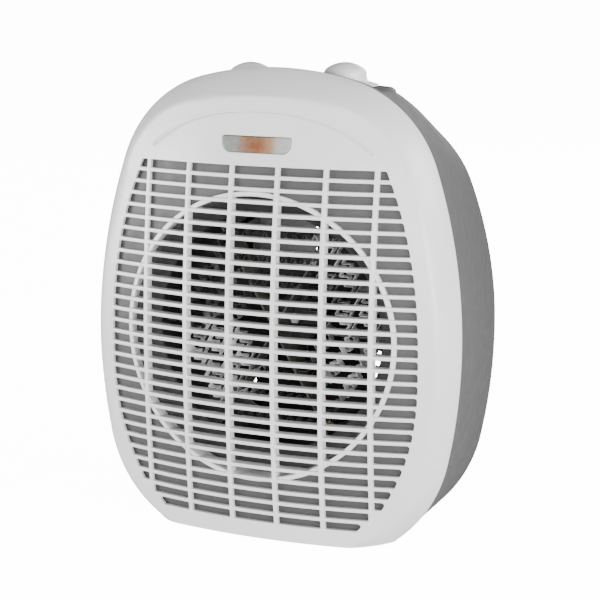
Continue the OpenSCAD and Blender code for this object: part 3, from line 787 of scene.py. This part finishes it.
def build_deep_ribs():
    """Inside the outlet ring the grille's bars run deeper."""
    solid = Solid()
    near = [s for s in slot_corners() if min(math.hypot(c[0], c[1] - DUCT_Z) for c in s) < 80]
    points, triangles, _ = fill([circle(0, DUCT_Z, 73.3, 192)] + [grown(s, 0.14) for s in near], [])
    solid.plate(points, triangles, on_face(1.5), on_face(5.5))
    solid.build("grille_deep_ribs", "cover_plastic", replaces=["front_cover"])


def build_lens():
    """The frosted lens in the lamp window."""
    solid = Solid()
    rows = []
    for grow, behind in ((-0.75, 0.16), (-0.4, 0.24), (-0.2, 0.5), (-0.2, 2.0)):
        rows.append(solid.profile(window_outline(grow), on_cover(0, behind)))
    grid = [Vector((x * 1.5, 205 + z * 1.5)) for x in range(-10, 11) for z in range(0, 4)]
    for row, behind, grow in ((rows[0], 0.16, -0.75), (rows[-1], 2.0, -0.2)):
        depth = on_cover(0, behind)
        solid.patch(row, [window_outline(grow)], lambda p: (p.x, depth(p), p.y), grid)
    solid.skin(rows)
    solid.build("lamp_lens", "lens", replaces=["indicator_lens"])


# ---- baffle behind the outer slots ----

BAFFLE_OFF = 2.55        # its front lies this far behind the face
BAFFLE_T = 1.7
THROAT_R = 63


def baffle_outline():
    right = [Vector((field_half(z) + 1.6, z)) for z in range(200, 23, -4)]
    right += [Vector((63.5, 18)), Vector((61.2, 13.5)), Vector((59, 9))]
    top = [Vector((x, 200)) for x in range(-60, 61, 10)]
    low = [Vector((x, 9)) for x in range(50, -51, -10)]
    left = [Vector((-p.x, p.y)) for p in reversed(right)]
    return list(reversed(top + right + low + left))


def build_baffle():
    solid = Solid()
    rim = circle(0, DUCT_Z, 75.8, 144)
    grid = [Vector((x, z)) for x in range(-84, 85, 6) for z in range(14, 198, 6)
            if math.hypot(x, z - DUCT_Z) > 78 and abs(x) < field_half(z) - 1]
    points, triangles, places = fill([baffle_outline(), rim], grid)
    open_edges = {frozenset(pair) for pair in zip(places[1], places[1][1:] + places[1][:1])}
    behind = on_cover(BAFFLE_OFF, BAFFLE_T)
    front, back = solid.plate(points, triangles, on_cover(BAFFLE_OFF), behind, open_edges)
    # Channel round the outlet ring, then the funnel down to the throat, and back up its outside
    rows = [[front[i] for i in places[1]]]
    channel = ((75.8, 16.1), (75.3, 16.4), (71.8, 16.4), (71.0, 16.7), (63.7, 24.1), (THROAT_R, 25.1),
               (THROAT_R, 26.4), (72, 26.4), (72, 24.7), (73.3, 18.2), (77.5, 18.2))
    rows += [solid.profile(circle(0, DUCT_Z, radius, 144), FRONT_Y + y) for radius, y in channel]
    rows.append(solid.profile(circle(0, DUCT_Z, 77.5, 144), behind))
    solid.skin(rows + [[back[i] for i in places[1]]])
    solid.build("duct_baffle", "baffle_plastic", replaces=["front_baffle"], smooth=30)


# ---- heating ribbon and fan ----

RIBBON_LOOPS = (25, 37, 49)
RIBBON_DEPTH = 5.5
FOLD = 1.9               # how far the ribbon's folds stand out to either side
FOLD_PITCH = 2.7


def ribbon_path(flat_r):
    """One turn of folded ribbon, caught in a notch at each of the six boards."""
    corner = flat_r / math.cos(math.pi / 6)
    path = []
    for side in range(6):
        start, end = [corner * Vector((math.cos(a), math.sin(a))) for a in
                      (side * math.pi / 3, (side + 1) * math.pi / 3)]
        outward = (start + end).normalized()
        folds = 2 * round(corner / FOLD_PITCH / 2)
        for k in range(folds):
            swing = 0 if k == 0 else FOLD * (-1) ** k
            for nudge in (-0.12, 0.12):
                path.append(mix(start, end, (k + nudge) / folds) + outward * swing)
    return path


def build_ribbons():
    solid = Solid()
    low, high = node_box("heating_ribbon")
    for flat_r in RIBBON_LOOPS:
        path = ribbon_path(flat_r)
        for y in (low.y, high.y - RIBBON_DEPTH):
            rows = []
            for across, deep in ((-0.13, 0), (0.13, 0), (0.13, RIBBON_DEPTH), (-0.13, RIBBON_DEPTH)):
                row = []
                for i, p in enumerate(path):
                    along = (path[(i + 1) % len(path)] - path[i - 1]).normalized()
                    q = p + Vector((along.y, -along.x)) * across
                    row.append((q.x, y + deep, DUCT_Z + q.y))
                rows.append(solid.ring(row))
            solid.skin(rows, closed=True)
    solid.build("folded_ribbon", "ribbon_alloy", replaces=["heating_ribbon"], smooth=20)


FAN_BLADES = 7
HUB_R = 15


def build_fan():
    """The impeller: a hub with a rounded nose, and twisted, cambered blades."""
    low, high = node_box("fan_impeller")
    front, back, tip = low.y, high.y, high.x
    solid = Solid()
    nose = [(2.55, front), (11, front), (13.2, front + 0.4), (14.5, front + 1.4), (HUB_R, front + 3),
            (HUB_R, back), (HUB_R - 1.6, back), (HUB_R - 1.6, front + 2.4), (5, front + 2.4),
            (5, back - 2), (2.55, back - 2)]
    solid.lathe(nose, lengthwise(0, DUCT_Z), 72)
    middle, reach = (front + back) / 2, (back - front) / 2
    spans, chords = 14, 12
    for blade in range(FAN_BLADES):
        turn = 2 * math.pi * blade / FAN_BLADES
        rings = []
        for i in range(spans + 1):
            radius = mix(HUB_R - 0.8, tip - 0.1, i / spans)
            wide = mix(12, 18.5, smoothstep(0, 1, i / spans))
            tall = mix(0.93, 0.84, i / spans) * reach
            section = []
            for side in (1, -1):
                for j in range(chords + 1):
                    s = side * (1 - 2 * j / chords)
                    half = 0.8 * math.sqrt(max(0.0, 1 - s * s)) ** 0.7
                    camber = 1.3 * (1 - s * s)
                    y = middle - s * tall - side * half * 0.91 + camber - 0.6
                    angle = turn + math.atan2(s * wide + side * half * 0.41, radius)
                    section.append((radius * math.cos(angle), min(max(y, front), back),
                                    DUCT_Z + radius * math.sin(angle)))
            rings.append(solid.ring(section))
        solid.skin(rings)
        solid.faces += [rings[0], rings[-1]]
    solid.build("fan_blades_and_hub", "fan_plastic", "fan_rotor", ["fan_impeller"])


# ---- rear casing ----

case_low, case_high = node_box("rear_casing")
CASE_REAR_Y = case_high.y
CASE_STEP = 0.8          # the casing's outline lies this far inside the cover's
CORNER_R = 34.5
CASE_WALL = 2.4
COLLAR_Y = SEAM_Y + 6    # the full-height collar ends here
SHOULDER_FALL = 0.0038   # the shoulders lose this share of their height per millimetre
SLOPE_START_Y = -5
WAIST_Z = 115
HEEL_R = 46.5
HEEL_Z = 50
BASE_REAR_Y = 40
PANEL_Z = 234.7
PANEL_HALF_W = 54
PANEL_END_R = 22
PANEL_MID_Y = -1
KNOB_X = joint_at("thermostat_turn").x
KNOB_Y = joint_at("thermostat_turn").y
CASE_STEPS = 110
CASE_BASE_STEPS = 36
SCREW_PLACES = [(50, 219), (-50, 219), (70, 15), (-70, 15)]
GLAND = (-52, 58)


def heel_z(y):
    """Lowest height of the casing: flat under the body, then curving up to the back."""
    if y > 48:
        return HEEL_Z - math.sqrt(max(0.0, HEEL_R ** 2 - (y - CASE_REAR_Y + HEEL_R) ** 2))
    return soft_max(case_low.z, case_low.z + 2.1 * (y - BASE_REAR_Y), 6)


def shoulder_fall(y):
    return 1 - SHOULDER_FALL * max(0, y - SLOPE_START_Y)


def corner_turn(y):
    return min(1.0, max(0.0, (y - CASE_REAR_Y + CORNER_R) / CORNER_R))


def case_ring(y, depth):
    """The casing's outline at a depth: from the base's left end over the top, and back along the base."""
    turn = corner_turn(y)
    flat = math.sqrt(1 - turn * turn)
    inset = CASE_STEP + CORNER_R * (1 - flat) + depth * flat
    base = heel_z(y) + depth * flat
    fall = shoulder_fall(y)
    place_y = y - depth * turn
    ceiling = PANEL_Z - 0.6 - depth
    if depth and y <= COLLAR_Y:
        place_y = SEAM_Y + (y - SEAM_Y) * (1 - depth / 6)
    elif depth and y < COLLAR_Y + 1:
        place_y = y - depth
    reach = heading_at(base - 2, inset)
    ring = []
    for k in range(-CASE_STEPS, CASE_STEPS + 1):
        p = edge_point(reach * k / CASE_STEPS, inset)
        z = p.y if p.y < WAIST_Z else WAIST_Z + (p.y - WAIST_Z) * fall
        z = soft_max(z, base, 2)
        if y > COLLAR_Y:
            z = soft_min(z, ceiling, 1.5)
        ring.append(Vector((p.x, place_y, z)))
    right, left = ring[-1], ring[0]
    return ring + [mix(right, left, k / CASE_BASE_STEPS) for k in range(1, CASE_BASE_STEPS)]


def case_stations():
    depths = [SEAM_Y + 0.05, SEAM_Y + 0.6, SEAM_Y + 3, COLLAR_Y - 0.35, COLLAR_Y, COLLAR_Y + 0.1]
    depths += [COLLAR_Y + 4 * k for k in range(1, 11)]
    straight = CASE_REAR_Y - CORNER_R
    depths += [straight + CORNER_R * math.sin(math.radians(a)) for a in range(3, 91, 3)]
    return depths


def in_panel(x, y, margin):
    """Whether a point lies under the control panel, at least margin inside its edge."""
    along = max(0.0, abs(x) - (PANEL_HALF_W - PANEL_END_R))
    return math.hypot(along, y - PANEL_MID_Y) < PANEL_END_R - margin


def intake_outlines(grow):
    outlines = []
    for k in range(-8, 9):
        half = math.sqrt(60 ** 2 - (7 * k) ** 2)
        low, high = DUCT_Z + 7 * k - 1.6 - grow, DUCT_Z + 7 * k + 1.6 + grow
        for left, right in ((-half - grow, -1.6 + grow), (1.6 - grow, half + grow)):
            corners = [(left, low, 1.4), (right, low, 1.4), (right, high, 1.4), (left, high, 1.4)]
            outlines.append(rounded(corners, 4, [6, 1, 6, 1]))
    return outlines


def cut(piece, cutters):
    """Cuts the cutters out of a piece's mesh, and removes them."""
    for cutter in cutters:
        modifier = piece.modifiers.new("cut", "BOOLEAN")
        modifier.operation = "DIFFERENCE"
        modifier.solver = "EXACT"
        modifier.object = cutter
    bpy.context.view_layer.update()
    cut_mesh = bpy.data.meshes.new_from_object(piece.evaluated_get(bpy.context.evaluated_depsgraph_get()))
    piece.modifiers.clear()
    piece.data = cut_mesh
    for cutter in cutters:
        bpy.data.objects.remove(cutter)


def cutter_rod(x, z, radius, y0, y1):
    solid = Solid()
    solid.lathe([(0, y0), (radius, y0), (radius, y1), (0, y1)], lengthwise(x, z), 48)
    return solid.bare("cutter")


def case_surface(solid, depth, rows, skipped, slots):
    """One side of the casing's wall: rows of its outlines, and the flat back with its slots."""
    for i, (a, b) in enumerate(zip(rows, rows[1:])):
        for j in range(len(a)):
            if (i, j) not in skipped:
                k = (j + 1) % len(a)
                solid.faces.append([a[j], a[k], b[k], b[j]])
    last = rows[-1][::-1]
    loop = [Vector((solid.points[v].x, solid.points[v].z)) for v in last]
    return solid.patch(last, [loop] + slots, lambda p: (p.x, CASE_REAR_Y - depth, p.y))


def build_casing():
    solid = Solid()
    stations = case_stations()
    outer = [solid.ring(case_ring(y, 0)) for y in stations]
    inner = [solid.ring(case_ring(y, CASE_WALL)) for y in stations]
    count = len(outer[0])
    skipped = set()
    for i in range(5, len(stations) - 1):
        for j in range(count):
            middle = (solid.points[outer[i][j]] + solid.points[outer[i + 1][(j + 1) % count]]) / 2
            if middle.z > 215 and in_panel(middle.x, middle.y, 4):
                skipped.add((i, j))
    wide, narrow = intake_outlines(0.35), intake_outlines(0.0)
    outer_slots = case_surface(solid, 0, outer, skipped, wide)
    inner_slots = case_surface(solid, CASE_WALL, inner, skipped, narrow)
    for front, back, outline in zip(outer_slots, inner_slots, narrow):
        solid.skin([front, solid.profile(outline, CASE_REAR_Y - 0.35), back])
    solid.bridge(outer[0], inner[0])
    for i, j in skipped:
        k = (j + 1) % count
        sides = (((i - 1, j), (i, j), (i, k)), ((i + 1, j), (i + 1, j), (i + 1, k)),
                 ((i, j - 1), (i, j), (i + 1, j)), ((i, j + 1), (i, k), (i + 1, k)))
        for neighbour, a, b in sides:
            if neighbour not in skipped:
                solid.faces.append([outer[a[0]][a[1]], outer[b[0]][b[1]],
                                    inner[b[0]][b[1]], inner[a[0]][a[1]]])
    casing = solid.build("rear_shell", "casing_plastic", replaces=["rear_casing"], smooth=30)
    rods = [cutter_rod(x, z, 3.9, 0, CASE_REAR_Y + 8) for x, z in SCREW_PLACES]
    rods.append(cutter_rod(*GLAND, 5.98, CASE_REAR_Y - 10, CASE_REAR_Y + 8))
    cut(casing, rods)
    finish_surface(casing, 30)


def case_end(point):
    """How far back a line along Y at a point stays inside the casing's wall."""
    x, z = point

    def inside(y):
        flat = math.sqrt(1 - corner_turn(y) ** 2)
        level = z if z < WAIST_Z else WAIST_Z + (z - WAIST_Z) / shoulder_fall(y)
        return inset_at(x, level) > CASE_STEP + CORNER_R * (1 - flat) + 1.2 and z > heel_z(y) + 1.2

    return last_inside(0.0, CASE_REAR_Y, inside)


def build_bosses():
    """Tubes from the back down to the four casing screws."""
    solid = Solid()
    for x, z in SCREW_PLACES:
        rows = []
        for radius, y in ((6, SEAM_Y + 2), (6, case_end), (3.92, case_end), (3.92, SEAM_Y + 8),
                          (1.9, SEAM_Y + 8), (1.9, SEAM_Y + 2)):
            rows.append(solid.profile(circle(x, z, radius, 40), y))
        solid.skin(rows, closed=True)
    solid.build("screw_bosses", "casing_plastic", replaces=["rear_casing"])


def panel_outline(inset):
    reach, middle = PANEL_END_R - inset, PANEL_HALF_W - PANEL_END_R
    turns = [(side, math.pi * (k / 24 - side / 2)) for side in (1, -1) for k in range(25)]
    return [Vector((side * middle + reach * math.cos(a), PANEL_MID_Y + reach * math.sin(a)))
            for side, a in turns]


def build_panel():
    """The control panel on top: a flat plate with round ends and a rounded edge."""
    solid = Solid()
    edge = 2.6
    rows = [solid.ring([(p.x, p.y, z) for p in panel_outline(inset)])
            for inset, z in [(2.4, PANEL_Z - 14), (0.2, PANEL_Z - 14), (0, PANEL_Z - 13.8)]
            + [(edge * (1 - math.cos(a)), PANEL_Z - edge + edge * math.sin(a)) for a in
               [math.pi / 2 * k / 6 for k in range(7)]]]
    ceiling = solid.ring([(p.x, p.y, PANEL_Z - 2.4) for p in panel_outline(2.4)])
    bores = [circle(side * KNOB_X, KNOB_Y, 4.8, 48) for side in (-1, 1)]
    holes = []
    for row, inset, z in ((rows[-1], edge, PANEL_Z), (ceiling, 2.4, PANEL_Z - 2.4)):
        holes.append(solid.patch(row, [panel_outline(inset)] + bores, lambda p: (p.x, p.y, z)))
    for top, low in zip(*holes):
        solid.bridge(top, low)
    solid.skin([ceiling] + rows)
    solid.build("control_panel", "casing_plastic", replaces=["rear_casing"], smooth=30)


# ---- knobs, feet and cord gland ----


def build_knob(name, node, joint, body):
    """A domed grip on a thin skirt, hollow underneath where it covers the nut."""
    low, high = node_box(node)
    base, top = low.z, high.z
    skirt = (high.x - low.x) / 2
    grip, dome = 11.2, 16.5
    profile = [(0, base + 4.2), (8, base + 4.2), (8, base), (skirt - 0.25, base), (skirt, base + 0.25),
               (skirt, base + 0.8), (skirt - 0.3, base + 1.15), (13.6, base + 2.1), (12.3, base + 2.6),
               (11.5, base + 3.5), (grip, base + 4.9)]
    centre = top - dome
    edge = centre + math.sqrt(dome ** 2 - grip ** 2)
    profile += [(grip - 0.02, edge - 1.3), (grip - 0.16, edge - 0.6), (grip - 0.5, edge + 0.02)]
    for angle in (38, 34, 29, 24, 19, 14, 9, 4):
        a = math.radians(angle)
        profile.append((dome * math.sin(a), centre + dome * math.cos(a)))
    profile.append((0, top))
    solid = Solid()
    at = joint_at(joint)
    solid.lathe(profile, upright(at.x, at.y), 96)
    solid.build(name, "knob_plastic", body, [node], smooth=34)


def build_feet():
    solid = Solid()
    low, high = node_box("rubber_feet")
    radius, floor, top = 6.5, low.z, high.z
    for x in (low.x + radius, high.x - radius):
        for y in (low.y + radius, high.y - radius):
            solid.lathe([(0, floor), (5.4, floor), (6.2, floor + 0.25), (radius, floor + 0.8),
                         (radius, BASE_Z), (2.5, BASE_Z), (2.5, top), (0, top)], upright(x, y), 48)
    solid.build("feet", "rubber", replaces=["rubber_feet"])


def build_gland():
    low, high = node_box("cord_gland")
    x, z = (low.x + high.x) / 2, (low.z + high.z) / 2
    radius = (high.x - low.x) / 2
    solid = Solid()
    solid.lathe([(3.75, low.y), (3.75, high.y - 0.7), (4.3, high.y), (radius - 1.1, high.y),
                 (radius - 0.2, high.y - 0.5), (radius, high.y - 1.4), (5.95, high.y - 1.4),
                 (5.95, CASE_REAR_Y - 2.5), (7.4, CASE_REAR_Y - 2.6), (7.2, CASE_REAR_Y - 5),
                 (5.9, low.y)], lengthwise(x, z), 64)
    solid.build("cord_bush", "gland_rubber", replaces=["cord_gland"])


build_cover()
build_outlet_ring()
build_deep_ribs()
build_lens()
build_baffle()
build_ribbons()
build_fan()
build_casing()
build_bosses()
build_panel()
build_knob("thermostat_dial", "thermostat_knob", "thermostat_turn", "thermostat_control")
build_knob("mode_dial", "mode_knob", "mode_turn", "mode_control")
build_feet()
build_gland()

for node, piece in frame["nodes"].items():
    slot = next(s["material_slot"] for s in frame["record"]["subparts"] if s["node"] == node)
    if slot in MATERIALS:
        piece.data.materials.clear()
        piece.data.materials.append(MATERIALS[slot])

# ---- floor and light ----


def camera_only(tree, strength):
    """A strength that only what the camera sees directly has."""
    path = tree.nodes.new("ShaderNodeLightPath")
    scale = tree.nodes.new("ShaderNodeMath")
    scale.operation = "MULTIPLY"
    scale.inputs[1].default_value = strength
    tree.links.new(path.outputs["Is Camera Ray"], scale.inputs[0])
    return scale.outputs["Value"]


def add_stage():
    mesh = bpy.data.meshes.new("floor")
    mesh.from_pydata([(-6, -6, 0), (6, -6, 0), (6, 6, 0), (-6, 6, 0)], [], [(0, 1, 2, 3)])
    floor = linked("floor", mesh)
    nodes = Nodes("pale_floor")
    tint = nodes.ramp(nodes.noise(6, 3), (0.3, (0.84, 0.84, 0.84)), (0.7, (0.87, 0.87, 0.87)))
    glow = camera_only(nodes.tree, FLOOR_GLOW)
    nodes.set(Base_Color=tint, Roughness=0.8, Emission_Color=(1, 1, 1, 1), Emission_Strength=glow)
    mesh.materials.append(nodes.material)
    world = bpy.data.worlds.new("studio")
    bpy.context.scene.world = world
    world.use_nodes = True
    tree = world.node_tree
    sky = tree.nodes["Background"]
    sky.inputs["Color"].default_value = (1, 1, 1, 1)
    add = tree.nodes.new("ShaderNodeMath")
    add.inputs[1].default_value = SKY
    tree.links.new(camera_only(tree, BACKDROP_GLOW), add.inputs[0])
    tree.links.new(add.outputs["Value"], sky.inputs["Strength"])


def add_light(name, location, aim, size, watts):
    data = bpy.data.lights.new(name, "AREA")
    data.shape = "RECTANGLE"
    data.size, data.size_y = size
    data.energy = watts
    linked(name, data, location).rotation_euler = facing(location, aim).to_euler()


SKY = 0.32
FLOOR_GLOW = 14.0
BACKDROP_GLOW = 14.0

add_stage()
add_light("key", (0.6, -1.8, 0.2), (0, 0, 0.12), (1.3, 0.6), 33)
add_light("right_fill", (1.7, -0.9, 0.25), (0, 0, 0.12), (1.0, 0.6), 46)
add_light("shoulder_light", (1.5, 0.1, 0.9), (0.03, 0, 0.2), (0.7, 0.7), 22)
add_light("back_fill", (0.2, 1.9, 0.9), (0, 0, 0.12), (1.2, 0.8), 16)
add_light("left_fill", (-1.5, -1.1, 0.2), (0, 0, 0.12), (1.0, 0.6), 52)

bpy.context.view_layer.update()
